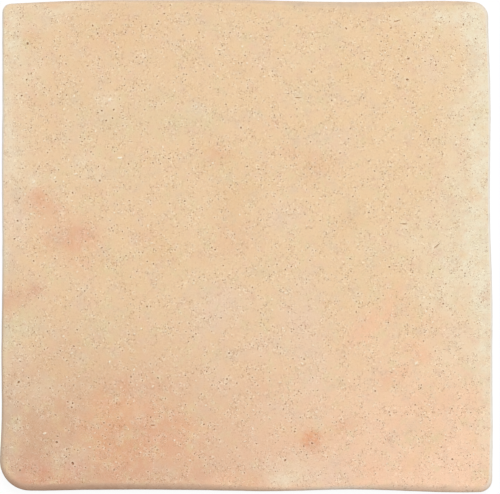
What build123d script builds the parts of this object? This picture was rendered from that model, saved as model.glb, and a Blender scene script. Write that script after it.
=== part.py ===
from build123d import *

import os
from math import cos, pi, sin

# A square floor tile with a rustic face, pressed and fired in one piece. It lies on its back, face up.
# +X runs to the right and +Y away from the reader as the face is looked down on. The origin is on the
# plane that the back rests on, under the middle of the tile, where two ribs of the back cross.

# Overall sizes, in millimetres
tile_width = 200.0
tile_depth = 200.0
thickness = 9.0

# How far below the face the rim ends, where the face has rolled over into the side walls
rim_drop = 2.2

# The four sides. Each point holds its share of the side's length, how far the side swells out there,
# and how wide the worn rim is there. The front and back sides run from left to right, and the left and
# right sides from front to back.
front_side = [
    (0.0, -0.5, 3.6),
    (0.07, 0.12, 3.3),
    (0.14, -0.09, 3.2),
    (0.32, -0.3, 3.2),
    (0.45, 0.0, 2.8),
    (0.56, 0.32, 2.0),
    (0.69, -0.36, 2.0),
    (0.78, -0.16, 2.8),
    (0.9, 0.74, 3.5),
    (1.0, 0.45, 2.4),
]
back_side = [
    (0.0, -1.65, 1.4),
    (0.1, -0.68, 1.4),
    (0.19, -0.06, 1.4),
    (0.34, 0.0, 1.6),
    (0.51, 0.04, 2.0),
    (0.6, -0.46, 2.6),
    (0.7, -0.78, 3.0),
    (0.79, -0.72, 3.0),
    (0.89, -0.3, 2.8),
    (1.0, -1.35, 1.8),
]
left_side = [
    (0.0, 0.25, 3.2),
    (0.065, 0.42, 2.0),
    (0.12, -0.2, 1.5),
    (0.2, -0.38, 1.2),
    (0.27, -0.27, 1.1),
    (0.37, -0.49, 1.1),
    (0.54, -0.65, 1.1),
    (0.65, -0.47, 1.1),
    (0.79, -0.7, 1.1),
    (0.92, -0.66, 1.1),
    (1.0, -0.7, 1.2),
]
right_side = [
    (0.0, 0.3, 2.0),
    (0.14, 0.58, 1.4),
    (0.28, 0.44, 1.2),
    (0.39, 0.5, 1.2),
    (0.47, 0.0, 1.2),
    (0.55, -0.49, 1.2),
    (0.7, -0.39, 1.2),
    (0.83, -0.4, 1.3),
    (0.9, -0.92, 1.4),
    (1.0, -1.3, 1.8),
]

# Corner roundings of the outline, at the side walls
corner_front_left = 12.4
corner_front_right = 5.4
corner_back_right = 6.2
corner_back_left = 3.6
least_corner = 0.8

# The bevel round the underside
foot_bevel = 0.7

# The adhesive key pressed into the back: a grid of shallow pockets with cut corners, between ribs
pocket_pitch = 18.0
rib_width = 3.0
pocket_depth = 0.8
pocket_corner = 1.6
pocket_draft = 40.0
least_land = 6.0

# Steps of the quarter turn in which the rim rolls over from the wall to the face
rim_steps = 5


def side_points(side, start, end, outward, inset_share):
    """A side's points from start to end, swollen outwards and drawn in by a share of the rim."""
    return [
        start + (end - start) * share + outward * (swell - rim * inset_share)
        for share, swell, rim in side
    ]


def tile_outline(height, inset_share):
    """The tile's outline at a height, each side drawn in by a share of its rim."""
    x, y = tile_width / 2, tile_depth / 2
    front = side_points(front_side, Vector(-x, -y), Vector(x, -y), Vector(0, -1), inset_share)
    back = side_points(back_side, Vector(-x, y), Vector(x, y), Vector(0, 1), inset_share)
    left = side_points(left_side, Vector(-x, -y), Vector(-x, y), Vector(-1, 0), inset_share)
    right = side_points(right_side, Vector(x, -y), Vector(x, y), Vector(1, 0), inset_share)

    # Two sides that meet share a corner, which is as far out as each of them is there
    front[0] = left[0] = Vector(left[0].X, front[0].Y)
    front[-1] = right[0] = Vector(right[0].X, front[-1].Y)
    back[0] = left[-1] = Vector(left[-1].X, back[0].Y)
    back[-1] = right[-1] = Vector(right[-1].X, back[-1].Y)

    corners = [
        (front[0], corner_front_left, front_side[0], left_side[0]),
        (front[-1], corner_front_right, front_side[-1], right_side[0]),
        (back[-1], corner_back_right, back_side[-1], right_side[-1]),
        (back[0], corner_back_left, back_side[0], left_side[-1]),
    ]
    with BuildSketch(Plane.XY.offset(height)) as outline:
        with BuildLine():
            Spline(*front)
            Spline(*right)
            Spline(*reversed(back))
            Spline(*reversed(left))
        make_face()
        for place, radius, (_, _, rim), (_, _, next_rim) in corners:
            corner_vertex = outline.vertices().sort_by_distance(place)[0]
            mean_rim = (rim + next_rim) / 2
            fillet(corner_vertex, max(radius - mean_rim * inset_share, least_corner))
    return outline.sketch


shoulder = thickness - rim_drop

with BuildPart() as tile:
    # The side walls, from the bevelled foot up to the shoulder where the rim begins
    add(tile_outline(0, 0))
    extrude(amount=shoulder)
    foot = tile.faces().sort_by(Axis.Z)[0]
    chamfer(foot.outer_wire().edges(), foot_bevel)

    # The rim rolls over in a quarter of an ellipse, as wide at each place as the worn rim is there
    turns = [pi / 2 * step / rim_steps for step in range(rim_steps + 1)]
    sections = [tile_outline(shoulder + rim_drop * sin(turn), 1 - cos(turn)) for turn in turns]
    loft(sections)

    # The key of the back: an even number of pockets each way, so that ribs cross under the middle
    pocket_size = pocket_pitch - rib_width
    pairs_x = int((tile_width / 2 - least_land) // pocket_pitch)
    pairs_y = int((tile_depth / 2 - least_land) // pocket_pitch)
    with BuildSketch(Plane.XY) as pockets:
        with GridLocations(pocket_pitch, pocket_pitch, 2 * pairs_x, 2 * pairs_y):
            Rectangle(pocket_size, pocket_size)
        chamfer(pockets.vertices(), pocket_corner)
    extrude(amount=pocket_depth, taper=pocket_draft, mode=Mode.SUBTRACT)

tile.part.label = "tile"
os.makedirs("parts", exist_ok=True)
export_step(tile.part, "parts/tile.step")
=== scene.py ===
import math
import random
from collections import namedtuple

import bmesh
import bpy
import numpy as np
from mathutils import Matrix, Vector, noise
from mathutils.bvhtree import BVHTree
from mathutils.kdtree import KDTree


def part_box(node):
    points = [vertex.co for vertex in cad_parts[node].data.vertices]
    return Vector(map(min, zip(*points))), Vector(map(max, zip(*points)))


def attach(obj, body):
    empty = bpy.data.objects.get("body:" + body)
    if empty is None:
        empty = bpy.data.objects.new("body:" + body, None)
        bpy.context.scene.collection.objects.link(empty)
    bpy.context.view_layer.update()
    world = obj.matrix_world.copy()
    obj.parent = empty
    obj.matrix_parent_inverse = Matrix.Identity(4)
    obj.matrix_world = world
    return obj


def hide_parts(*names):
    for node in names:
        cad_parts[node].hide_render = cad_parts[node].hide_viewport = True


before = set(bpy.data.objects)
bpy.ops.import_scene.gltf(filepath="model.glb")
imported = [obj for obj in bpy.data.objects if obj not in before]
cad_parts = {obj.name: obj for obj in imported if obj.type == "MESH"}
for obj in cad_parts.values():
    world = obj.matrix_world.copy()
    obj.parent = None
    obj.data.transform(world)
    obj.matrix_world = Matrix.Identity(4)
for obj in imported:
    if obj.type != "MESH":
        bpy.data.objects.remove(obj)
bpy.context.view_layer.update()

# A square rustic tile, seen from straight above. Lengths are in metres, by way of millimetres.
MM = 0.001

# The tile as it is packed: its middle in plan, half its plan size, and its two levels
tile_low, tile_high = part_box("tile")
MIDDLE = (tile_low + tile_high).xy / 2
HALF = (tile_high - tile_low).xy / 2
TOP = tile_high.z
BOTTOM = tile_low.z

# The rim, which rolls over from the face to the side walls, and the bevel round the foot
RIM_DROP = 2.2 * MM
MEAN_RIM = 2.2 * MM
FOOT_BEVEL = 0.7 * MM
HAIR = 0.001 * MM

# The key of the back
POCKET_PITCH = 18 * MM
POCKETS_PER_SIDE = 10
RIB_WIDTH = 3 * MM
POCKET_DEPTH = 0.8 * MM
POCKET_CORNER = 1.6 * MM
POCKET_DRAFT = math.radians(40)

# The mesh: the size of a cell of the face, and the rows of cells down the rim and the walls
CELL = 1.1 * MM
RIM_ROWS = 7
WALL_ROWS = 6
CORNER_REACH = 14 * MM

# How far out the grid of the face begins to follow the outline, as a share of the way to the border
FOLLOW_FROM = 0.6

# Edges that turn by more than this stay sharp
SHARP_ANGLE = math.radians(42)

# The lip that the press leaves along the rim, highest along the front. Inside it the face lies lower,
# in gentle hollows.
LIP_WIDTH = 3 * MM
LIP_STEPS = [2.2 * MM, 1.4 * MM, 0.7 * MM, 0]
LIP_SLOPE = 1.3 * MM
LIP_LEAST = 0.4
LIP_FRONT = 12 * MM
LIP_SWING = 0.2
FACE_SINK = 0.20 * MM
HOLLOW_DEPTH = 0.05 * MM
HOLLOW_SIZE = 24 * MM
RIPPLE_DEPTH = 0.025 * MM
RIPPLE_SIZE = 5 * MM

# Half the size of the face inside the lip
INNER_HALF = HALF - Vector((1, 1)) * (LIP_WIDTH + MEAN_RIM)

# How far wear has nibbled the edges inwards, in long waves and in short ones
NIBBLE_LONG = 0.10 * MM
NIBBLE_LONG_SIZE = 7 * MM
NIBBLE_SHORT = 0.05 * MM
NIBBLE_SHORT_SIZE = 1.6 * MM

# The photograph's scale, its middle, and the pixel of it that the frame's origin falls on
PHOTO_PIXEL = 0.4076 * MM
PHOTO_ORIGIN = (246, 245.25)
PHOTO_CENTRE = (250, 247)
PHOTO_WIDTH = 500

# Pits in the face that stand out, as pixels of the photograph, by their radius
PITS = {
    0.80 * MM: [(73, 463)],
    0.62 * MM: [(28, 44), (131, 12), (408, 59), (40, 477), (57, 442), (407, 80), (19, 382), (285, 460)],
    0.47 * MM: [
        (93, 26), (98, 34), (158, 24), (27, 80), (22, 96), (114, 110), (102, 111), (98, 113), (113, 119),
        (106, 121), (241, 128), (346, 29), (463, 25), (100, 181), (73, 193), (18, 221), (34, 261),
        (153, 425), (158, 378), (204, 424), (227, 379), (452, 459), (364, 59), (389, 267), (14, 239),
        (131, 376), (73, 403), (72, 407), (375, 391), (304, 359), (312, 443), (229, 353),
    ],
    0.36 * MM: [
        (29, 85), (10, 72), (85, 139), (81, 137), (56, 140), (48, 153), (220, 55), (186, 75), (186, 81),
        (204, 70), (230, 33), (217, 144), (286, 129), (278, 59), (245, 56), (425, 62), (449, 11),
        (56, 182), (80, 177), (59, 170), (400, 200), (368, 213), (468, 284), (434, 208), (431, 277),
        (439, 269), (420, 305), (212, 385), (469, 465), (341, 419), (158, 21), (145, 110), (86, 241),
        (112, 228), (130, 277), (154, 264), (85, 291), (147, 262), (122, 232), (47, 233), (19, 402),
        (18, 419), (104, 423), (110, 444), (78, 450), (186, 405), (211, 386), (257, 385), (281, 347),
        (486, 78), (363, 98), (405, 99), (350, 129), (311, 142), (398, 74), (413, 104), (489, 128),
    ],
}

# Short cuts in the face, each from one pixel to another
CUTS = [
    ((392, 23), (401, 20)),
    ((458, 24), (467, 27)),
    ((294, 98), (302, 98)),
    ((400, 224), (408, 224)),
    ((281, 458), (289, 463)),
    ((150, 425), (156, 425)),
    ((433, 249), (440, 243)),
]
CUT_ACROSS = 0.34 * MM
CUT_SINK = 0.3 * MM
CUT_TINT = 0.6

# Cream crumbs of grog that stand out of the face, by their radius
WIDEST_CRUMB = 1.0 * MM
CRUMBS = {
    WIDEST_CRUMB: [(120, 158)],
    0.75 * MM: [(110, 100), (34, 182), (55, 178), (45, 433), (416, 363), (93, 181), (76, 174)],
    0.60 * MM: [
        (102, 106), (25, 130), (220, 50), (80, 174), (72, 201), (152, 243), (153, 386), (134, 401),
        (280, 382), (190, 460), (206, 405), (37, 184), (72, 353), (482, 466), (14, 138), (245, 441),
    ],
    0.45 * MM: [
        (196, 113), (182, 121), (214, 112), (76, 181), (123, 204), (141, 264), (61, 300), (96, 290),
        (429, 461), (254, 466), (204, 228), (190, 255), (297, 199), (324, 300), (182, 322), (44, 263),
        (50, 265), (415, 328), (122, 213), (299, 368), (98, 17), (121, 12), (59, 442), (428, 372),
    ],
}

# The rest of the pits and crumbs, strewn over the face in drifts, where the small ones are commonest. The
# least share of them falls between the drifts.
STREWN_PITS = 1900
STREWN_CRUMBS = 380
SEED = 7
PIT_RADII = (0.22 * MM, 0.44 * MM)
CRUMB_RADII = (0.28 * MM, 0.50 * MM)
SMALL_ONES = 1.8
STREWN_LEAST = 0.08
DRIFT_SIZE = 5.5 * MM
DRIFT_DETAIL = 2.3
DRIFT_BASE = 0.55
DRIFT_GAIN = 0.95
TINTED = (0.30, 0.85)
PLACED_TINT = 0.9

# How much longer and narrower than its radius a mark is, from and to, and how far a crumb may lean from
# lying level, in radians
PIT_OVAL = ((1.0, 1.25), (0.7, 0.95))
CRUMB_OVAL = ((1.1, 1.5), (0.5, 0.7))
STREWN_OVAL = ((1.0, 1.35), (0.7, 1.0))
CRUMB_TURN = 1.0

# How deep pits are and how high crumbs and burrs stand, as shares of their radius or their depth, and how
# ragged they are
PIT_SINK = 0.7
CRUMB_RISE = 0.2
BURR_RISE = 0.1
RAGGED = 0.13

# How small a polygon is when it is cut, and how far a ring starts inside it, before they get their shapes
BEVEL = 0.12 * MM
RING_INSET = BEVEL / 8

# Marks wider than this push the points of the grid around them away, as far as to leave them clear
WIDE = 0.5 * MM
PUSH_REACH = 2.6 * MM
CLEAR = 0.3 * CELL
LEAST_APART = 0.35 * CELL

# How much room a narrow mark has round its point, how far its neighbours are looked for, and how much
# wider than the two marks the gap to a neighbour's middle is
ROOM = 0.9 * CELL
NEIGHBOURS = 3.5 * CELL
GAP = 1.2

# The rings inside a mark's outer ring: their reach, how much of the mark's height they are at, and how
# much of its tint they have. Marks narrower than NARROW have one ring.
NARROW = 0.32 * MM
RINGS = {
    "pit": [(0.70, 0.55, 0.55), (0.38, 1.0, 1.0)],
    "crumb": [(0.80, 0.65, 1.0), (0.42, 1.0, 1.0)],
}
ONE_RING = {"pit": (0.52, 1.0, 1.0), "crumb": (0.62, 1.0, 1.0)}

# A mark's place in plan, its half lengths, its turn, how far it rises, its kind, and how much of its tint
# it has. A polygon is a mark's face in the mesh, with its level and the turn of its first point.
Mark = namedtuple("Mark", "spot along across turn rise kind tinted")
Polygon = namedtuple("Polygon", "face mark spot level first_turn")


def smooth(share):
    """Rises gently from 0 to 1."""
    share = min(max(share, 0.0), 1.0)
    return share * share * (3 - 2 * share)


def waves(point, size, offset=0.0):
    """Smooth noise from about -1 to 1, with features of a size."""
    return noise.noise(Vector((point[0] / size + offset, point[1] / size - offset, point[2] / size)))


def from_photo(pixel):
    """The place on the tile, in plan, that a pixel of the photograph shows."""
    across, down = pixel[0] - PHOTO_ORIGIN[0], pixel[1] - PHOTO_ORIGIN[1]
    return Vector((across, -down)) * PHOTO_PIXEL


def coarseness(spot):
    """How thickly pits and specks are strewn at a spot, from 0 to 1: they lie in drifts."""
    point = (*spot, 0)
    drift = waves(point, DRIFT_SIZE, offset=2.2)
    drift += 0.5 * waves(point, DRIFT_SIZE / DRIFT_DETAIL, offset=6.4)
    return smooth(DRIFT_BASE + DRIFT_GAIN * drift)


def packed_surface():
    """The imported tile's surface, for finding its outline."""
    shape = bmesh.new()
    shape.from_mesh(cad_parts["tile"].data)
    surface = BVHTree.FromBMesh(shape)
    shape.free()
    return surface


SURFACE = packed_surface()


def looking_out(place):
    """Where a place on the border of the plan is looked at from, and which way: square to a side, and
    turning from one side to the next round a corner."""
    reach = HALF - Vector((CORNER_REACH, CORNER_REACH))
    inner = Vector([max(-r, min(r, p)) for p, r in zip(place, reach)])
    return MIDDLE + inner, (place - inner).normalized()


def border_point(place, height, inset=0.0):
    """The tile's outline at a height, worn a little, and then an inset further in."""
    inner, outwards = looking_out(place)
    start = inner + outwards * CORNER_REACH * 2
    hit = SURFACE.ray_cast(Vector((*start, height)), Vector((*-outwards, 0)))[0]
    worn = NIBBLE_LONG * (0.5 + 0.5 * waves(hit, NIBBLE_LONG_SIZE))
    worn += NIBBLE_SHORT * (0.5 + 0.5 * waves(hit, NIBBLE_SHORT_SIZE, offset=3.7))
    return hit.xy - outwards * (worn + inset)


def face_level(spot, inside):
    """How high the face lies at a spot, some way inside the inner line of the rim."""
    point = (*spot, 0)
    floor = FACE_SINK
    floor += HOLLOW_DEPTH * waves(point, HOLLOW_SIZE)
    floor += RIPPLE_DEPTH * waves(point, RIPPLE_SIZE, offset=5.3)
    front = smooth((LIP_FRONT - (spot.y - MIDDLE.y + HALF.y)) / LIP_FRONT)
    lip = LIP_LEAST + (1 - LIP_LEAST) * front
    lip *= 1 - LIP_SWING + LIP_SWING * waves(point, HOLLOW_SIZE, offset=9.1)
    return TOP - floor + lip * (floor - HAIR) * (1 - smooth(inside / LIP_SLOPE))


def lay_face(shape):
    """The face, as a grid that is drawn to the outline near its border. Each point keeps its place in
    the square plan, which the rows below the border take over."""
    cells_x, cells_y = (round(2 * side / CELL) for side in INNER_HALF)
    bmesh.ops.create_grid(shape, x_segments=cells_x, y_segments=cells_y, size=1)
    plan = shape.verts.layers.float_vector.new("plan")
    for point in shape.verts:
        share = max(abs(point.co.x), abs(point.co.y))
        place = Vector((point.co.x * HALF.x, point.co.y * HALF.y))
        spot = MIDDLE + Vector((point.co.x * INNER_HALF.x, point.co.y * INNER_HALF.y))
        if share > FOLLOW_FROM:
            border = border_point(place / share, TOP - HAIR, LIP_WIDTH)
            follow = smooth((share - FOLLOW_FROM) / (1 - FOLLOW_FROM))
            spot = spot.lerp(MIDDLE + (border - MIDDLE) * share, follow)
        point[plan] = (*place, 0)
        inside = LIP_WIDTH + (1 - share) * INNER_HALF.x
        point.co = (*spot, face_level(spot, inside))


def draw_down(shape, border, plan, place_point, worn):
    """A row of cells more round the border. place_point gives each new point's position."""
    edge_wear = shape.verts.layers.float["wear"]
    made = bmesh.ops.extrude_edge_only(shape, edges=border)["geom"]
    for point in made:
        if isinstance(point, bmesh.types.BMVert):
            point.co = place_point(Vector(point[plan][:2]))
            point[edge_wear] = worn
    return [e for e in made if isinstance(e, bmesh.types.BMEdge) and e.is_boundary]


def lay_sides(shape):
    """The lip, the rim, the side walls and the foot, row by row down to the underside."""
    shape.verts.layers.float.new("wear")
    plan = shape.verts.layers.float_vector["plan"]
    border = [edge for edge in shape.edges if edge.is_boundary]
    for inset in LIP_STEPS:

        def on_lip(place, inset=inset):
            spot = border_point(place, TOP - HAIR, inset)
            return Vector((*spot, face_level(spot, inset)))

        border = draw_down(shape, border, plan, on_lip, 0.0)

    shoulder = TOP - RIM_DROP
    turns = [math.pi / 2 * (1 - row / RIM_ROWS) for row in range(1, RIM_ROWS + 1)]
    heights = [shoulder + RIM_DROP * math.sin(turn) for turn in turns]
    wall = shoulder - FOOT_BEVEL - BOTTOM
    heights += [shoulder - wall * row / WALL_ROWS for row in range(1, WALL_ROWS + 1)]
    heights += [BOTTOM + HAIR]
    for row, height in enumerate(heights, start=1):

        def at_height(place, height=height):
            spot = border_point(place, height)
            sunk = TOP - face_level(spot, 0)
            return Vector((*spot, height - sunk * smooth((height - shoulder) / RIM_DROP)))

        border = draw_down(shape, border, plan, at_height, min(row / RIM_ROWS, 1.0))
    for edge in border:
        for point in edge.verts:
            point.co.z = BOTTOM


def press_back(shape):
    """The underside: pockets between ribs, and the flat land between them and the foot's edge."""
    known = set(shape.faces)
    half_key = POCKET_PITCH * POCKETS_PER_SIDE / 2
    cells = POCKETS_PER_SIDE
    points = bmesh.ops.create_grid(shape, x_segments=cells, y_segments=cells, size=half_key)["verts"]
    for point in points:
        point.co.z = BOTTOM
    pockets = [face for face in shape.faces if face not in known]
    bmesh.ops.inset_individual(shape, faces=pockets, thickness=RIB_WIDTH / 2, depth=0)
    corners = list(dict.fromkeys(point for face in pockets for point in face.verts))
    bmesh.ops.bevel(
        shape, geom=corners, offset=POCKET_CORNER, affect="VERTICES", segments=1, profile=0.5, material=-1
    )
    draft = POCKET_DEPTH * math.tan(POCKET_DRAFT)
    pockets = [face for face in shape.faces if face not in known and len(face.verts) == 8]
    bmesh.ops.inset_individual(
        shape, faces=pockets, thickness=draft, depth=-POCKET_DEPTH, use_even_offset=True
    )
    for face in pockets:
        for point in face.verts:
            point.co.z = BOTTOM + POCKET_DEPTH
    open_edges = [edge for edge in shape.edges if edge.is_boundary]
    bmesh.ops.triangle_fill(shape, edges=open_edges, use_beauty=True, normal=(0, 0, -1))


def oval(radius, shares, chance):
    """The half lengths of an oval mark, along and across."""
    return [radius * chance.uniform(*share) for share in shares]


def placed_marks(chance):
    """The pits, cuts and crumbs that the photograph shows best."""
    marks = []
    for radius, pixels in PITS.items():
        for pixel in pixels:
            along, across = oval(radius, PIT_OVAL, chance)
            turn = chance.uniform(0, math.pi)
            sink = -radius * PIT_SINK
            marks.append(Mark(from_photo(pixel), along, across, turn, sink, "pit", PLACED_TINT))
    for radius, pixels in CRUMBS.items():
        for pixel in pixels:
            along, across = oval(radius, CRUMB_OVAL, chance)
            turn = chance.uniform(0, CRUMB_TURN)
            rise, tinted = radius * CRUMB_RISE, radius / WIDEST_CRUMB
            marks.append(Mark(from_photo(pixel), along, across, turn, rise, "crumb", tinted))
    for start, end in CUTS:
        first, last = from_photo(start), from_photo(end)
        length = (last - first).length
        turn = math.atan2(last.y - first.y, last.x - first.x)
        marks.append(Mark((first + last) / 2, length / 2, CUT_ACROSS, turn, -CUT_SINK, "pit", CUT_TINT))
    return marks


def strewn_mark(chance, kind):
    """One more pit or crumb, anywhere on the face, oftener where the clay is coarse."""
    radii = PIT_RADII if kind == "pit" else CRUMB_RADII
    while True:
        spot = Vector([chance.uniform(-reach, reach) for reach in INNER_HALF])
        if chance.random() < STREWN_LEAST + (1 - STREWN_LEAST) * coarseness(spot):
            break
    radius = radii[0] + (radii[1] - radii[0]) * chance.random() ** SMALL_ONES
    along, across = oval(radius, STREWN_OVAL, chance)
    rise = -radius * PIT_SINK if kind == "pit" else radius * CRUMB_RISE
    tinted = chance.uniform(*TINTED)
    return Mark(MIDDLE + spot, along, across, chance.uniform(0, math.pi), rise, kind, tinted)


def tree_of(spots):
    """A tree for finding places in plan."""
    tree = KDTree(len(spots))
    for index, spot in enumerate(spots):
        tree.insert((*spot, 0), index)
    tree.balance()
    return tree


def seat_wide(points, marks, seats):
    """Seats the wide marks, each on the point nearest to it, and pushes the points around it away. What
    finds no room comes back, made narrow."""
    tree = tree_of([point.co.xy for point in points])
    left = []
    for mark in marks:
        _, index, _ = tree.find((*mark.spot, 0))
        crowded = any((mark.spot - spot).length < PUSH_REACH + other.along for _, other, spot in seats)
        if crowded or any(edge.is_boundary for edge in points[index].link_edges):
            share = WIDE / mark.along
            left.append(mark._replace(along=WIDE, across=mark.across * share, rise=mark.rise * share))
            continue
        seats.append((points[index], mark, mark.spot))
        clear = mark.along * (1 + RAGGED) + CLEAR
        for _, near, _ in tree.find_range((*mark.spot, 0), PUSH_REACH + clear):
            away = points[near].co.xy - mark.spot
            apart = max(away.length, LEAST_APART)
            share = (PUSH_REACH + clear - apart) / (PUSH_REACH + clear - LEAST_APART)
            points[near].co.xy += away.normalized() * (clear - LEAST_APART) * share
        points[index].co.xy = mark.spot
    return left


def seat_narrow(points, marks, seats):
    """Seats the narrow marks on free points, moved towards each mark as far as there is room."""
    tree = tree_of([point.co.xy for point in points])
    taken = {tree.find((*spot, 0))[1]: (spot, mark.along) for _, mark, spot in seats}
    for mark in marks:
        _, index, _ = tree.find((*mark.spot, 0))
        point = points[index]
        if index in taken or any(edge.is_boundary for edge in point.link_edges):
            continue
        step = mark.spot - point.co.xy
        room = max(0.0, ROOM - mark.along) / 2
        if step.length > room:
            step = step.normalized() * room
        spot = point.co.xy + step
        near = [taken[i] for _, i, _ in tree.find_range((*spot, 0), NEIGHBOURS) if i in taken]
        if any((spot - other).length < (mark.along + along) * GAP for other, along in near):
            continue
        taken[index] = (spot, mark.along)
        seats.append((point, mark, spot))


def shape_ring(face, mark, centre, reach, first_turn, chance):
    """Puts the points of a mark's polygon on an ellipse round its centre, a little ragged."""
    count = len(face.verts)
    cos_turn, sin_turn = math.cos(mark.turn), math.sin(mark.turn)
    for index, point in enumerate(face.verts):
        angle = first_turn + math.tau * index / count - mark.turn
        wobble = reach * (1 + chance.uniform(-RAGGED, RAGGED))
        along = mark.along * wobble * math.cos(angle)
        across = mark.across * wobble * math.sin(angle)
        point.co.x = centre.x + along * cos_turn - across * sin_turn
        point.co.y = centre.y + along * sin_turn + across * cos_turn


def seat_marks(points, placed, strewn):
    """Seats all marks. Each seat is a point of the grid, its mark and the mark's spot."""
    seats = []
    wide = [mark for mark in placed if mark.along > WIDE]
    narrow = [mark for mark in placed if mark.along <= WIDE]
    narrow = seat_wide(points, wide, seats) + narrow
    seat_narrow(points, narrow + strewn, seats)
    for point, _, spot in seats:
        point.co.xy = spot
    return seats


def cut_polygons(shape, seats):
    """Cuts a polygon with eight points round each seated point."""
    tree = tree_of([spot for _, _, spot in seats])
    points = [point for point, _, _ in seats]
    made = bmesh.ops.bevel(
        shape, geom=points, offset=BEVEL, affect="VERTICES", segments=1, profile=0.5, material=-1
    )
    faces = [face for face in made["faces"] if len(face.verts) == 4]
    edges = list(dict.fromkeys(edge for face in faces for edge in face.edges))
    bmesh.ops.bisect_edges(shape, edges=edges, cuts=1)
    polygons = []
    for face in faces:
        middle = face.calc_center_median()
        _, index, _ = tree.find((*middle.xy, 0))
        _, mark, spot = seats[index]
        first = face.verts[0].co.xy - spot
        polygons.append(Polygon(face, mark, spot, middle.z, math.atan2(first.y, first.x)))
    return polygons


def press_rings(shape, polygons, ring, chance):
    """Insets the polygons once more, down into the pits and up onto the crumbs."""
    tints = {kind: shape.verts.layers.float[kind] for kind in ("pit", "crumb")}
    burr = shape.verts.layers.float["burr"]
    faces = [polygon.face for polygon in polygons]
    bmesh.ops.inset_individual(shape, faces=faces, thickness=RING_INSET, depth=0)
    for face, mark, spot, level, first_turn in polygons:
        rings = RINGS[mark.kind] if mark.along > NARROW else [ONE_RING[mark.kind]]
        reach, share, tint = rings[ring]
        shape_ring(face, mark, spot, reach, first_turn, chance)
        for point in face.verts:
            point.co.z = min(level + mark.rise * share, TOP)
            point[tints[mark.kind]] = tint * mark.tinted
            point[burr] = 0


def press_marks(shape, chance):
    """Cuts every pit into the face and raises every crumb: a small polygon round its point, with a burr
    round a pit, and rings inside it that go down, or up, towards the middle."""
    placed = placed_marks(chance)
    strewn = [strewn_mark(chance, "crumb") for _ in range(STREWN_CRUMBS)]
    strewn += [strewn_mark(chance, "pit") for _ in range(STREWN_PITS)]
    for layer in ("pit", "crumb", "burr"):
        shape.verts.layers.float.new(layer)
    seats = seat_marks(list(shape.verts), placed, strewn)
    polygons = cut_polygons(shape, seats)
    burr = shape.verts.layers.float["burr"]
    for face, mark, spot, _, first_turn in polygons:
        shape_ring(face, mark, spot, 1.0, first_turn, chance)
        for point in face.verts:
            point.co.z -= mark.rise * BURR_RISE
            # The burr round a pit is marked here for its painted highlight
            point[burr] = mark.kind == "pit"
    press_rings(shape, polygons, 0, chance)
    press_rings(shape, [one for one in polygons if one.mark.along > NARROW], 1, chance)
    return len(polygons), len(placed) + len(strewn)


def make_tile():
    """The whole tile as one closed mesh."""
    chance = random.Random(SEED)
    shape = bmesh.new()
    lay_face(shape)
    pressed, wanted = press_marks(shape, chance)
    lay_sides(shape)
    press_back(shape)
    bmesh.ops.recalc_face_normals(shape, faces=shape.faces[:])
    for face in shape.faces:
        face.smooth = True
    shape.verts.layers.float_vector.remove(shape.verts.layers.float_vector["plan"])
    open_edges = sum(not edge.is_manifold for edge in shape.edges)
    corners = sum(len(face.verts) - 2 for face in shape.faces)
    print(f"tile: {corners} triangles, {open_edges} open edges, {pressed} marks of {wanted}")
    mesh = bpy.data.meshes.new("tile_body")
    shape.to_mesh(mesh)
    shape.free()
    mesh.set_sharp_from_angle(angle=SHARP_ANGLE)
    tile = bpy.data.objects.new("tile_body", mesh)
    bpy.context.scene.collection.objects.link(tile)
    return tile


class Value:
    """A number that changes over a surface. A sum on it adds the Math node that works it out."""

    def __init__(self, nodes, socket):
        self.nodes = nodes
        self.socket = socket

    def worked(self, operation, first, second):
        return self.nodes.add("ShaderNodeMath", {"operation": operation}, {0: first, 1: second})

    def __add__(self, other):
        return self.worked("ADD", self, other)

    def __sub__(self, other):
        return self.worked("SUBTRACT", self, other)

    def __rsub__(self, other):
        return self.worked("SUBTRACT", other, self)

    def __mul__(self, other):
        return self.worked("MULTIPLY", self, other)

    __radd__ = __add__
    __rmul__ = __mul__


class Nodes:
    """The nodes of a material or a world."""

    def __init__(self, owner):
        self.owner = owner
        owner.use_nodes = True
        self.tree = owner.node_tree
        self.tree.nodes.clear()

    def add(self, kind, settings=None, sockets=None, output=0):
        """Adds a node: its type, its settings, and the values or links of its sockets."""
        made = self.tree.nodes.new(kind)
        for name, value in (settings or {}).items():
            setattr(made, name, value)
        for name, value in (sockets or {}).items():
            if isinstance(value, Value):
                self.tree.links.new(value.socket, made.inputs[name])
            else:
                made.inputs[name].default_value = value
        return Value(self, made.outputs[output]) if made.outputs else None

    def painted(self, name, output="Fac"):
        """What is painted on the mesh's points under a name."""
        return self.add("ShaderNodeAttribute", {"attribute_name": name}, None, output)

    def others(self, value, *outputs):
        """Other outputs of the node that a value comes from."""
        return [Value(self, value.socket.node.outputs[name]) for name in outputs]

    def between(self, low, high, value, to_low=0.0, to_high=1.0):
        """A value's smooth passage from low to high, as a passage from to_low to to_high."""
        return self.add(
            "ShaderNodeMapRange",
            {"interpolation_type": "SMOOTHSTEP"},
            {"Value": value, "From Min": low, "From Max": high, "To Min": to_low, "To Max": to_high},
        )

    def ridge(self, low, top, high, value):
        """A value's passage up from low to top, and down again to high."""
        return self.between(low, top, value) * self.between(high, top, value)

    def mixed(self, share, first, second, blend="MIX"):
        """Two colours, mixed or otherwise blended by a share of the second."""
        settings = {"data_type": "RGBA", "blend_type": blend}
        return self.add("ShaderNodeMix", settings, {0: share, 6: first, 7: second}, 2)

    def grain(self, where, size, detail=2.0, roughness=0.5, seed=0.0):
        """Noise with features of a size."""
        sockets = {"Vector": where, "W": seed, "Scale": 1 / size, "Detail": detail, "Roughness": roughness}
        return self.add("ShaderNodeTexNoise", {"noise_dimensions": "4D"}, sockets)


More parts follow.
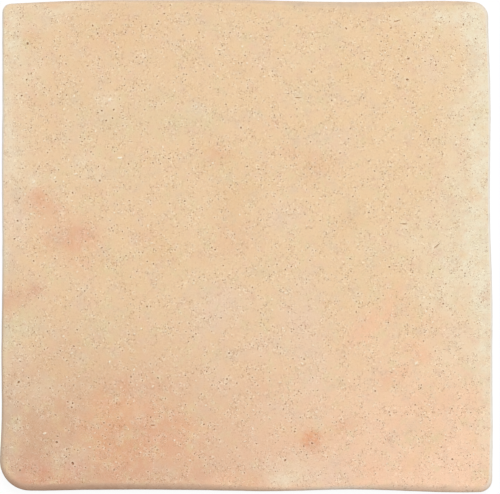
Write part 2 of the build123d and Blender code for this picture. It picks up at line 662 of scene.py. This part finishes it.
def colour(red, green, blue):
    """A colour as it is seen on a screen, from 0 to 255, as the linear values that shaders take."""

    def linear(share):
        return share / 12.92 if share <= 0.04045 else ((share + 0.055) / 1.055) ** 2.4

    return (*(linear(part / 255) for part in (red, green, blue)), 1.0)


# The clay in the four corners of the face, from which it changes evenly to the others
BACK_LEFT_CLAY = colour(237, 203, 164)
BACK_RIGHT_CLAY = colour(241, 208, 167)
FRONT_LEFT_CLAY = colour(211, 168, 136)
FRONT_RIGHT_CLAY = colour(254, 212, 180)

# What stains the clay
PEACH = colour(234, 184, 148)
ROSE = colour(220, 163, 138)
OCHRE = colour(231, 192, 146)
STRAW = colour(222, 205, 166)
BLUSH = colour(247, 196, 160)
CHALK = colour(243, 230, 202)
MAUVE = colour(236, 208, 187)
SMOKE = colour(202, 182, 160)
RUST = colour(218, 158, 114)
CORAL = colour(231, 148, 108)

# Stains: the pixel in the middle, the reach along and across in millimetres, the turn in degrees, and
# the strength. A stain is at its full strength in its core, and ends a little past its reach.
STAIN_AND_SHADE_CORE = 0.1
STAIN_AND_SHADE_END = 1.25
STAIN_AND_SHADE_DRIFT = 2.4 * MM
STAIN_AND_SHADE_DRIFT_SIZE = 8 * MM
LEAST_COVER = 1e-6
STAINS = [
    (STRAW, [
        (20, 326, 12, 8, 0, 0.60), (10, 342, 6, 5, 0, 0.30), (110, 120, 14, 9, 0, 0.35),
        (165, 125, 11, 8, 0, 0.30), (198, 121, 13, 8, 0, 0.35), (75, 100, 9, 8, 0, 0.22),
        (330, 40, 9, 7, 0, 0.25), (100, 325, 14, 9, 0, 0.25), (465, 215, 11, 24, 0, 0.30),
        (125, 175, 9, 7, 0, 0.25), (190, 435, 5, 4, 0, 0.25), (310, 90, 14, 8, 0, 0.20),
        (215, 25, 11, 6, 0, 0.22), (150, 100, 12, 8, 0, 0.20), (270, 270, 8, 6, 0, 0.20),
    ]),
    (MAUVE, [
        (220, 305, 16, 11, 10, 0.50), (208, 335, 9, 8, 0, 0.25), (300, 318, 13, 15, 0, 0.42),
        (312, 368, 9, 15, 0, 0.42), (265, 345, 9, 8, 0, 0.25), (275, 408, 10, 7, 0, 0.25),
        (263, 466, 10, 5, 0, 0.25), (285, 218, 10, 9, 0, 0.38), (330, 140, 13, 9, 0, 0.30),
        (430, 68, 6, 7, 0, 0.40), (215, 375, 9, 7, 0, 0.30), (20, 222, 6, 9, 0, 0.50),
        (9, 262, 5, 10, 0, 0.42), (14, 440, 7, 15, 0, 0.30), (11, 400, 6, 11, 0, 0.30),
        (333, 476, 12, 7, 0, 0.40), (20, 360, 6, 6, 0, 0.25), (6, 160, 4, 40, 0, 0.35),
        (210, 35, 6, 4, 0, 0.15), (450, 335, 9, 12, 0, 0.20), (260, 60, 9, 7, 0, 0.18),
        (310, 280, 9, 8, 0, 0.25), (70, 130, 10, 8, 0, 0.15),
    ]),
    (OCHRE, [
        (115, 27, 16, 10, 5, 0.42), (148, 40, 8, 8, 0, 0.25), (162, 250, 10, 13, 20, 0.55),
        (232, 205, 10, 14, 0, 0.48), (240, 70, 5, 6, 0, 0.40), (216, 153, 11, 9, 0, 0.52),
        (95, 190, 6, 6, 0, 0.30), (128, 290, 5, 14, 0, 0.30), (105, 262, 8, 9, 0, 0.46),
        (350, 70, 10, 6, 0, 0.18), (390, 45, 10, 8, 0, 0.18), (410, 215, 9, 7, 0, 0.22),
        (430, 435, 9, 7, 0, 0.28), (415, 303, 6, 4, 0, 0.30), (350, 220, 7, 9, -20, 0.42),
        (180, 60, 10, 8, 0, 0.15), (250, 175, 12, 10, 0, 0.30), (125, 355, 9, 8, 0, 0.28),
        (310, 165, 10, 10, 0, 0.25), (425, 120, 6, 6, 0, 0.20),
    ]),
    (SMOKE, [
        (0, 335, 4, 18, 0, 0.50), (5, 432, 7, 24, 0, 0.45), (12, 270, 6, 8, 0, 0.18),
        (0, 270, 4, 12, 0, 0.30), (335, 2, 26, 5, 0, 0.30), (410, 0, 24, 5, 0, 0.18),
    ]),
    (PEACH, [
        (36, 198, 8.5, 8, 0, 0.85), (62, 240, 15, 9, 0, 0.75), (48, 216, 8, 6, -30, 0.35),
        (80, 233, 8, 10, 0, 0.60), (79, 262, 6.5, 7, 0, 0.52), (96, 242, 5.5, 7, 0, 0.35),
        (57, 208, 8, 5, -30, 0.35), (136, 425, 27, 21, 0, 0.78), (166, 440, 16, 13, 0, 0.40),
        (113, 402, 10, 11, 0, 0.35), (118, 460, 18, 10, 0, 0.60), (190, 462, 11, 8, 0, 0.40),
        (250, 479, 8.5, 5.5, 0, 0.80), (310, 440, 9, 6, 12, 0.65), (345, 427, 9, 6.5, 15, 0.45),
        (389, 380, 7, 4.5, 20, 0.40), (30, 37, 4.5, 4, 0, 0.65), (36, 101, 5.5, 4.5, 0, 0.30),
        (216, 157, 7, 5.5, 0, 0.62), (235, 238, 12, 10, 0, 0.38), (203, 257, 5, 5, 0, 0.30),
        (144, 238, 6, 6, 0, 0.25), (262, 390, 9, 7, 0, 0.25), (290, 150, 8, 6, 0, 0.34),
        (320, 166, 10, 9, 0, 0.34), (107, 425, 12, 14, 0, 0.60), (190, 436, 9, 9, 0, 0.50),
        (110, 45, 12, 6, 0, 0.18), (270, 125, 7, 7, 0, 0.20),
    ]),
    (BLUSH, [
        (389, 380, 7.5, 5, 20, 0.40), (403, 368, 4.5, 3.5, 40, 0.40), (415, 350, 9, 4.5, -12, 0.60),
        (430, 355, 4.5, 3.5, -20, 0.40), (385, 313, 11, 6, 22, 0.62), (365, 331, 8, 6, 20, 0.58),
        (395, 292, 5.5, 5.5, 0, 0.50), (348, 342, 8, 6, 0, 0.25), (370, 470, 10, 7, 0, 0.40),
        (410, 464, 8, 6, 0, 0.35), (430, 403, 14, 10, 0, 0.38), (440, 322, 12, 9, 0, 0.36),
        (465, 385, 11, 12, 0, 0.32), (400, 430, 12, 9, 0, 0.30), (223, 481, 8, 4, 0, 0.55),
    ]),
    (ROSE, [
        (12, 300, 7, 7.5, 0, 0.55), (37, 290, 6, 5.5, 0, 0.55), (60, 440, 15, 17, 0, 0.14),
        (40, 472, 15, 8, 0, 0.62), (75, 468, 6, 4.5, 0, 0.75), (62, 402, 5.5, 4, 0, 0.38),
        (70, 345, 5.5, 4.5, 0, 0.30), (200, 470, 11, 7, 0, 0.25), (388, 438, 2.6, 2.2, 0, 0.40),
        (152, 385, 15, 7, 0, 0.20), (62, 235, 9, 4.5, 10, 0.22), (82, 231, 4, 5, 0, 0.20),
        (150, 440, 20, 14, 0, 0.28), (118, 465, 15, 8, 0, 0.40), (56, 478, 14, 6, 0, 0.45),
        (60, 208, 4, 3, 0, 0.20), (120, 385, 5, 4, 0, 0.18), (25, 372, 8, 6, 0, 0.30),
    ]),
    (RUST, [
        (108, 428, 13, 15, 0, 0.36), (125, 448, 15, 12, 0, 0.28), (160, 425, 16, 10, 0, 0.20),
        (62, 240, 8, 4, 10, 0.25), (52, 478, 13, 5, 0, 0.32), (115, 396, 8, 6, 0, 0.35),
        (38, 197, 4, 3, 0, 0.25),
    ]),
    (CORAL, [
        (310, 440, 6, 4, 14, 0.88), (345, 427, 7, 4, 15, 0.10),
    ]),
    (CHALK, [
        (298, 470, 12, 8, 0, 0.32), (455, 350, 12, 22, 0, 0.28), (428, 290, 10, 9, 0, 0.28),
        (427, 17, 13, 5, 0, 0.40), (472, 180, 15, 80, 0, 0.20), (416, 240, 12, 16, 0, 0.30),
        (440, 304, 9, 7, 0, 0.30), (68, 455, 12, 8, 0, 0.20), (14, 30, 9, 10, 0, 0.28),
        (48, 20, 12, 6, 0, 0.30), (28, 68, 10, 14, 0, 0.26), (15, 145, 10, 40, 0, 0.26),
        (20, 350, 8, 20, 0, 0.20), (438, 26, 12, 6, 0, 0.34), (40, 390, 8, 8, 0, 0.26),
        (483, 298, 6, 10, 0, 0.30), (486, 62, 10, 24, 0, 0.80), (480, 26, 10, 10, 0, 0.75),
        (488, 150, 9, 32, 0, 0.80), (484, 245, 10, 24, 0, 0.80), (488, 335, 8, 32, 0, 0.75),
        (455, 215, 15, 40, 0, 0.30), (466, 275, 12, 18, 0, 0.34), (440, 268, 8, 8, 0, 0.30),
        (466, 115, 9, 14, 0, 0.35), (6, 155, 6, 18, 0, 0.35), (8, 36, 6, 18, 0, 0.60),
        (5, 100, 4, 16, 0, 0.35), (60, 9, 22, 3, 0, 0.35), (462, 12, 14, 6, 0, 0.60),
        (37, 181, 6, 4.5, 0, 0.50), (85, 166, 9, 7, 0, 0.35), (108, 101, 6, 4.5, 0, 0.35),
        (282, 479, 9, 4, 0, 0.50), (195, 113, 8, 4, 0, 0.20), (4, 250, 3, 22, 0, 0.40),
        (4, 350, 3, 20, 0, 0.30), (487, 420, 4, 22, 0, 0.40), (440, 60, 14, 16, 0, 0.12),
        (370, 240, 10, 8, 0, 0.12), (300, 60, 10, 7, 0, 0.10),
    ]),
]

# Colour laid on the rim in the same way: painted shade, darker and a little redder, along the front, a
# darker line along the back and down the left, and paler stretches along the right and in places along the
# left and the front
# RED_RIM_SHADE is painted shade on the front of the rim
RED_RIM_SHADE = colour(198, 160, 134)
DARK_RIM_TINT = colour(206, 180, 154)
PALE_RIM_TINT = colour(244, 236, 222)
RIM_SHADE_AND_TINTS = [
    (RED_RIM_SHADE, [
        (20, 484, 22, 14, 0, 0.70), (70, 490, 30, 8, 0, 0.75), (140, 490, 30, 8, 0, 0.70),
        (210, 490, 22, 8, 0, 0.35), (250, 490, 12, 8, 0, 0.20), (415, 492, 26, 8, 0, 0.22),
    ]),
    (DARK_RIM_TINT, [
        (330, 2, 34, 6, 0, 0.50), (410, 2, 30, 6, 0, 0.40), (230, 0, 34, 6, 0, 0.55),
        (130, 0, 34, 6, 0, 0.50), (50, 2, 24, 6, 0, 0.50), (468, 8, 16, 12, 0, 0.40),
        (2, 330, 6, 26, 0, 0.50), (2, 420, 6, 26, 0, 0.60),
    ]),
    (PALE_RIM_TINT, [
        (488, 110, 8, 60, 0, 1.00), (490, 300, 8, 70, 0, 1.00), (491, 430, 6, 34, 0, 0.90),
        (0, 80, 6, 50, 0, 0.55), (0, 200, 6, 50, 0, 0.55), (340, 492, 20, 6, 0, 0.35),
    ]),
]
RIM_EDGE = 0.35

# The finer changes of the clay, and the painted shade and highlights of its small marks
PINK_CLOUD = colour(236, 194, 168)
GREEN_CLOUD = colour(226, 211, 164)
GREY_CLOUD = colour(222, 200, 178)
GOLD_CLOUD = colour(238, 202, 152)
DARK_GRAIN = colour(190, 152, 114)
# PALE_GRAIN_AND_HIGHLIGHT is pale grain, and also the painted highlight on the burr round each pit
PALE_GRAIN_AND_HIGHLIGHT = colour(252, 236, 208)
# PIT_DIRT_AND_SHADE and SPECK_DIRT_AND_SHADE are dark clay and painted shade together, the shade that
# falls inside pits, specks and the dark side of strokes
PIT_DIRT_AND_SHADE = colour(138, 94, 58)
SPECK_DIRT_AND_SHADE = colour(162, 110, 66)
# STROKE_HIGHLIGHT is a painted highlight, added along the pale side of a stroke
STROKE_HIGHLIGHT = (0.17, 0.19, 0.16, 1)
FLECK_LIGHT = (0.18, 0.22, 0.22, 1)
CRUMB_CREAM = colour(255, 243, 218)
WORN_GREY = colour(222, 210, 194)
BODY_CLAY = colour(226, 200, 168)
DUST = colour(236, 226, 210)

# How the stains and the rim's bands fray: the size of the noise, its range, and what their strength is
# multiplied by
MOTTLE_SIZE = 3.6 * MM
MOTTLE_RANGE = (0.28, 0.72)
MOTTLE_GAIN = (0.68, 1.32)

# Clouds: their tint, their size, the seed of their noise, and their strength
CLOUDS = [
    (PINK_CLOUD, 5.0 * MM, 1.0, 0.55),
    (GREEN_CLOUD, 5.5 * MM, 2.0, 0.50),
    (GREY_CLOUD, 8.0 * MM, 8.0, 0.45),
    (GOLD_CLOUD, 9.0 * MM, 9.0, 0.50),
]
CLOUD_RANGE = (0.48, 0.78)

# Sand and the finer powder: the size of the noise, and two layers, each with the range of the noise that
# it fades in over, its strength and its tint. SAND_LEAST is how much of them lies between the drifts.
SAND_SIZE = 0.72 * MM
SAND_LAYERS = [((0.50, 0.70), 0.22, PALE_GRAIN_AND_HIGHLIGHT), ((0.48, 0.28), 0.20, DARK_GRAIN)]
SAND_LEAST = 0.3
POWDER_SIZE = 0.42 * MM
POWDER_LAYERS = [((0.50, 0.68), 0.20, PALE_GRAIN_AND_HIGHLIGHT), ((0.50, 0.32), 0.14, DARK_GRAIN)]

# Strokes: the size of the noise whose contours they follow, the size of the gaps between them, where in
# the noise the dark side and the pale side lie, and their strengths. The dark side is dark clay with
# painted shade, as in a groove, and the pale side is a painted highlight along its edge.
STROKE_SIZE = 0.85 * MM
STROKE_BREAK = 1.5 * MM
STROKE_BREAK_RANGE = (0.44, 0.56)
STROKE_DARK = (0.44, 0.49, 0.54)
STROKE_PALE = (0.51, 0.57, 0.65)
STROKE_DARK_STRENGTH = 0.50
STROKE_HIGHLIGHT_STRENGTH = 0.85

# Specks and pale flecks: the size of a cell, and the share of the cells that hold one. A speck fades out
# between two radii, given as shares of a cell. SPECK_LEAST is how much of them lies between the drifts. A
# speck's brown is dark clay and painted shade, as in a pit too small to cut.
SPECK_CELL = 1.15 * MM
SPECK_SHARE = 0.50
FLECK_CELL = 1.05 * MM
FLECK_SHARE = 0.36
SPECK_RADII = (0.10, 0.26)
SPECK_FADE = 0.12
SPECK_STRENGTH = 0.80
SPECK_LEAST = 0.20

# How strongly the marks of the mesh are tinted: the burr round a pit with a painted highlight, a pit with
# dark clay and painted shade, and a crumb with cream
BURR_HIGHLIGHT_STRENGTH = 0.30
PIT_STRENGTH = 0.85
CRUMB_STRENGTH = 0.90

# The grey wear of the rim, the dust of the back, and how much of the plain body shows
WORN_SIZE = 4 * MM
WORN_RANGE = (0.30, 0.65)
WORN_STRENGTH = (0.25, 0.60)
DUST_SIZE = 14 * MM
DUST_RANGE = (0.40, 0.70)
DUST_STRENGTH = 0.6
BODY_RANGE = (0.30, 0.75)
BODY_PLAINNESS = 0.55
WALL_PLAINNESS = 0.5

# How far up the surface faces where the walls' clay comes in, and where the back's does
WALL_FACING = (0.35, -0.05)
BACK_FACING = (-0.30, -0.70)

# The sheen, and the relief that is too fine for the mesh: how much each kind of grain adds to it
ROUGHNESS = (0.80, 0.92)
SPECULAR = 0.3
RELIEF_DEPTH = 0.16 * MM
RELIEF_STRENGTH = 0.75
SAND_RELIEF = 0.7
FINE_RELIEF = 0.45
FINE_SIZE = 0.40 * MM
SPECK_RELIEF = 0.9
FLECK_RELIEF = 0.4
STROKE_DARK_RELIEF = 0.3
STROKE_PALE_RELIEF = 0.2


def gradient(clay, where):
    """The even change of colour from corner to corner."""
    across = clay.add("ShaderNodeSeparateXYZ", None, {"Vector": where}, "X")
    (up,) = clay.others(across, "Y")
    right = clay.between(-HALF.x, HALF.x, across)
    back = clay.between(-HALF.y, -0.05 * HALF.y, up)
    front_row = clay.mixed(right, FRONT_LEFT_CLAY, FRONT_RIGHT_CLAY)
    back_row = clay.mixed(right, BACK_LEFT_CLAY, BACK_RIGHT_CLAY)
    return clay.mixed(back, front_row, back_row)


def paint(mesh, name, tints):
    """Lays coloured patches on the mesh's points as one colour, whose alpha is how much of the clay they
    cover: the face's stains, and the rim's bands, which hold painted shade. Places are shifted to and fro
    first, so that the patches' edges wander."""
    spots = np.empty(len(mesh.vertices) * 3)
    mesh.vertices.foreach_get("co", spots)
    spots = spots.reshape(-1, 3)
    noise.seed_set(SEED)
    drift = [noise.noise_vector(Vector(spot) / STAIN_AND_SHADE_DRIFT_SIZE) * STAIN_AND_SHADE_DRIFT for spot in spots]
    spots = (spots + np.array(drift))[:, :2]
    coats = np.zeros((len(spots), 4))
    for tint, stains_and_shades in tints:
        field = np.zeros(len(spots))
        for pixel_x, pixel_y, along, across, turn, strength in stains_and_shades:
            away = spots - np.array(from_photo((pixel_x, pixel_y)))
            cos_turn, sin_turn = math.cos(math.radians(turn)), math.sin(math.radians(turn))
            reach = np.hypot(
                away @ (cos_turn, sin_turn) / (along * MM), away @ (-sin_turn, cos_turn) / (across * MM)
            )
            fall = np.clip((STAIN_AND_SHADE_END - reach) / (STAIN_AND_SHADE_END - STAIN_AND_SHADE_CORE), 0, 1)
            field += strength * fall * fall * (3 - 2 * fall)
        field = np.minimum(field, 1)[:, None]
        coats = coats * (1 - field) + np.array(tint) * field
    cover = coats[:, 3:]
    coats[:, :3] = np.where(cover > 0, coats[:, :3] / np.maximum(cover, LEAST_COVER), PEACH[:3])
    layer = mesh.attributes.new(name, "FLOAT_COLOR", "POINT")
    layer.data.foreach_set("color", coats.ravel())


def mark_drifts(mesh):
    """Notes on each of the mesh's points how coarse the clay is there."""
    layer = mesh.attributes.new("coarse", "FLOAT", "POINT")
    layer.data.foreach_set("value", [coarseness(point.co.xy) for point in mesh.vertices])


def specks(clay, where, size, share):
    """Round specks, in a share of the cells that a surface is divided into."""
    away = clay.add("ShaderNodeTexVoronoi", None, {"Vector": where, "Scale": 1 / size}, "Distance")
    (tint,) = clay.others(away, "Color")
    lot = clay.add("ShaderNodeSeparateColor", None, {"Color": tint})
    core, edge = SPECK_RADII
    return clay.between(edge, core, away) * clay.between(share, share - SPECK_FADE, lot)


def fired_clay():
    """The tile's material: stained and clouded clay with a fine grain, dark pits, specks and strokes that
    are partly painted shade, painted highlights on the burrs and beside the strokes, cream crumbs, worn
    grey round the rim with its bands and painted shade along its front, and a plain dusty back."""
    clay = Nodes(bpy.data.materials.new("fired_clay"))
    here = clay.add("ShaderNodeTexCoord", None, None, "Object")

    # The stains, mottled so that they fray
    stain = clay.painted("stain", "Color")
    (cover,) = clay.others(stain, "Alpha")
    mottle = clay.grain(here, MOTTLE_SIZE, 4.0, 0.65, seed=7.0)
    mottle = clay.between(*MOTTLE_RANGE, mottle, *MOTTLE_GAIN)
    ground = clay.mixed(cover * mottle, gradient(clay, here), stain)

    # Clouds of pinker, greener, greyer and more golden clay
    for tint, size, seed, strength in CLOUDS:
        cloud = clay.between(*CLOUD_RANGE, clay.grain(here, size, 3.0, 0.6, seed=seed))
        ground = clay.mixed(cloud * strength, ground, tint)

    # Sand and powder, more of both in the drifts
    coarse, pit, crumb, burr, wear = (
        clay.painted(name) for name in ("coarse", "pit", "crumb", "burr", "wear")
    )
    sand = clay.grain(here, SAND_SIZE, 2.0, 0.75, seed=3.0)
    sandy = coarse * (1 - SAND_LEAST) + SAND_LEAST
    for fade, strength, tint in SAND_LAYERS:
        ground = clay.mixed(clay.between(*fade, sand) * sandy * strength, ground, tint)
    powder = clay.grain(here, POWDER_SIZE, 1.0, 0.6, seed=12.0)
    for fade, strength, tint in POWDER_LAYERS:
        ground = clay.mixed(clay.between(*fade, powder) * sandy * strength, ground, tint)

    # Short wandering strokes, dark clay and painted shade on one side and a painted highlight on the
    # other, and specks too small to be cut into the face, dark clay and painted shade as in a pit
    strewn = coarse * (1 - SPECK_LEAST) + SPECK_LEAST
    drawn = clay.grain(here, STROKE_SIZE, 1.0, 0.6, seed=14.0)
    gaps = clay.grain(here, STROKE_BREAK, 1.0, 0.5, seed=15.0)
    broken = clay.between(*STROKE_BREAK_RANGE, gaps) * strewn
    dark_side = clay.ridge(*STROKE_DARK, drawn) * broken
    highlight_side = clay.ridge(*STROKE_PALE, drawn) * broken
    ground = clay.mixed(highlight_side * STROKE_HIGHLIGHT_STRENGTH, ground, STROKE_HIGHLIGHT, "ADD")
    ground = clay.mixed(dark_side * STROKE_DARK_STRENGTH, ground, SPECK_DIRT_AND_SHADE)
    speck = specks(clay, here, SPECK_CELL, SPECK_SHARE) * strewn
    fleck = specks(clay, here, FLECK_CELL, FLECK_SHARE) * strewn
    ground = clay.mixed(fleck * SPECK_STRENGTH, ground, FLECK_LIGHT, "ADD")
    ground = clay.mixed(speck * SPECK_STRENGTH, ground, SPECK_DIRT_AND_SHADE)

    # The pits and crumbs of the mesh: a painted highlight on the burr round each pit, dark clay and
    # painted shade inside the pits, and cream crumbs
    ground = clay.mixed(burr * BURR_HIGHLIGHT_STRENGTH, ground, PALE_GRAIN_AND_HIGHLIGHT)
    ground = clay.mixed(pit * PIT_STRENGTH, ground, PIT_DIRT_AND_SHADE)
    ground = clay.mixed(crumb * CRUMB_STRENGTH, ground, CRUMB_CREAM)

    # The rim is worn grey and carries its bands, painted shade along the front and darker and paler bands
    # elsewhere, the walls show half of the plain body, and dust lies in the back
    worn = clay.between(*WORN_RANGE, clay.grain(here, WORN_SIZE, 3.0, 0.6, seed=11.0), *WORN_STRENGTH)
    ground = clay.mixed(wear * worn, ground, WORN_GREY)
    # The rim's bands: painted shade along the front, and darker and paler bands elsewhere
    rim_shade_and_tint = clay.painted("rim_shade_and_tint", "Color")
    (rim_shade_and_tint_cover,) = clay.others(rim_shade_and_tint, "Alpha")
    ground = clay.mixed(clay.between(0.0, RIM_EDGE, wear) * rim_shade_and_tint_cover * mottle, ground, rim_shade_and_tint)
    facing = clay.add("ShaderNodeNewGeometry", None, None, "Normal")
    up = clay.add("ShaderNodeSeparateXYZ", None, {"Vector": facing}, "Z")
    body = clay.mixed(clay.between(*BODY_RANGE, sand), BODY_CLAY, DARK_GRAIN)
    body = clay.mixed(BODY_PLAINNESS, body, BODY_CLAY)
    dusty = clay.grain(here, DUST_SIZE, 4.0, 0.6, seed=6.0)
    back = clay.mixed(clay.between(*DUST_RANGE, dusty) * DUST_STRENGTH, body, DUST)
    walls = clay.mixed(WALL_PLAINNESS, ground, body)
    ground = clay.mixed(clay.between(*WALL_FACING, up), ground, walls)
    ground = clay.mixed(clay.between(*BACK_FACING, up), ground, back)

    rough = clay.between(*BODY_RANGE, sand, *ROUGHNESS)
    relief = sand * SAND_RELIEF + clay.grain(here, FINE_SIZE, 2.0, 0.6, seed=5.0) * FINE_RELIEF
    relief = relief - speck * SPECK_RELIEF + fleck * FLECK_RELIEF
    relief = relief - dark_side * STROKE_DARK_RELIEF + highlight_side * STROKE_PALE_RELIEF
    bump = clay.add(
        "ShaderNodeBump",
        None,
        {"Height": relief, "Strength": RELIEF_STRENGTH, "Distance": RELIEF_DEPTH},
    )
    surface = clay.add(
        "ShaderNodeBsdfPrincipled",
        None,
        {"Base Color": ground, "Roughness": rough, "Normal": bump, "Specular IOR Level": SPECULAR},
    )
    clay.add("ShaderNodeOutputMaterial", None, {"Surface": surface})
    return clay.owner


def seen_directly(nodes):
    """1 where a ray comes from the camera, also by way of a mirror or glass, and 0 where it lights."""
    camera = nodes.add("ShaderNodeLightPath", None, None, "Is Camera Ray")
    glossy, transmitted = nodes.others(camera, "Is Glossy Ray", "Is Transmission Ray")
    return camera + glossy + transmitted


# The floor: half its size in metres, what it throws back as light, and how it looks to the camera, as a
# share that takes the tile's shadow and a share that doesn't
FLOOR_HALF = 12
FLOOR_LIT = 0.8
FLOOR_SHADED = 0.08
FLOOR_GLOW = 0.93


def grey(share):
    return (share, share, share, 1)


def floor_finish():
    """White paper, which shows to the camera as white and still takes the tile's shadow."""
    paper = Nodes(bpy.data.materials.new("floor_white"))
    lit = paper.add("ShaderNodeBsdfDiffuse", None, {"Color": grey(FLOOR_LIT)})
    shaded = paper.add("ShaderNodeBsdfDiffuse", None, {"Color": grey(FLOOR_SHADED)})
    glow = paper.add("ShaderNodeEmission", None, {"Color": grey(1), "Strength": FLOOR_GLOW})
    seen = paper.add("ShaderNodeAddShader", None, {0: shaded, 1: glow})
    mixed = paper.add("ShaderNodeMixShader", None, {0: seen_directly(paper), 1: lit, 2: seen})
    paper.add("ShaderNodeOutputMaterial", None, {"Surface": mixed})
    return paper.owner


def lay_floor():
    """A wide floor under the tile."""
    shape = bmesh.new()
    bmesh.ops.create_grid(shape, x_segments=1, y_segments=1, size=FLOOR_HALF)
    for point in shape.verts:
        point.co.z = BOTTOM
    mesh = bpy.data.meshes.new("floor")
    shape.to_mesh(mesh)
    shape.free()
    floor = bpy.data.objects.new("floor", mesh)
    floor.data.materials.append(floor_finish())
    bpy.context.scene.collection.objects.link(floor)


# The camera looks straight down from far off, so that no side wall shows
LENS = 200
SENSOR = 36

# The lamp hangs high, behind the tile and a little to the right: its place and size in metres
LAMP_PLACE = Vector((0.8, 2.2, 4.4))
LAMP_SIZE = 2.0
LAMP_POWER = 160
SKY_STRENGTH = 0.42


def hang_camera():
    camera = bpy.data.cameras.new("camera")
    camera.lens = LENS
    camera.sensor_width = SENSOR
    view = bpy.data.objects.new("camera", camera)
    bpy.context.scene.collection.objects.link(view)
    bpy.context.scene.camera = view
    distance = PHOTO_WIDTH * PHOTO_PIXEL * LENS / SENSOR
    view.location = (*from_photo(PHOTO_CENTRE), TOP - RIM_DROP + distance)


def hang_lamp():
    lamp = bpy.data.lights.new("lamp", "AREA")
    lamp.size = LAMP_SIZE
    lamp.energy = LAMP_POWER
    holder = bpy.data.objects.new("lamp", lamp)
    holder.location = LAMP_PLACE
    holder.rotation_euler = (-LAMP_PLACE).to_track_quat("-Z", "Y").to_euler()
    bpy.context.scene.collection.objects.link(holder)


def light_sky():
    """An even white sky, which the camera sees as white whatever light it gives."""
    sky = Nodes(bpy.data.worlds.new("sky"))
    strength = sky.add("ShaderNodeMapRange", None, {"Value": seen_directly(sky), "To Min": SKY_STRENGTH})
    shown = sky.add("ShaderNodeBackground", None, {"Color": grey(1), "Strength": strength})
    sky.add("ShaderNodeOutputWorld", None, {"Surface": shown})
    bpy.context.scene.world = sky.owner


tile = make_tile()
paint(tile.data, "stain", STAINS)
# The rim's bands, with painted shade along the front
paint(tile.data, "rim_shade_and_tint", RIM_SHADE_AND_TINTS)
mark_drifts(tile.data)
tile.data.materials.append(fired_clay())
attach(tile, "root")
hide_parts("tile")

lay_floor()
hang_camera()
hang_lamp()
light_sky()
bpy.context.scene.view_settings.view_transform = "Standard"
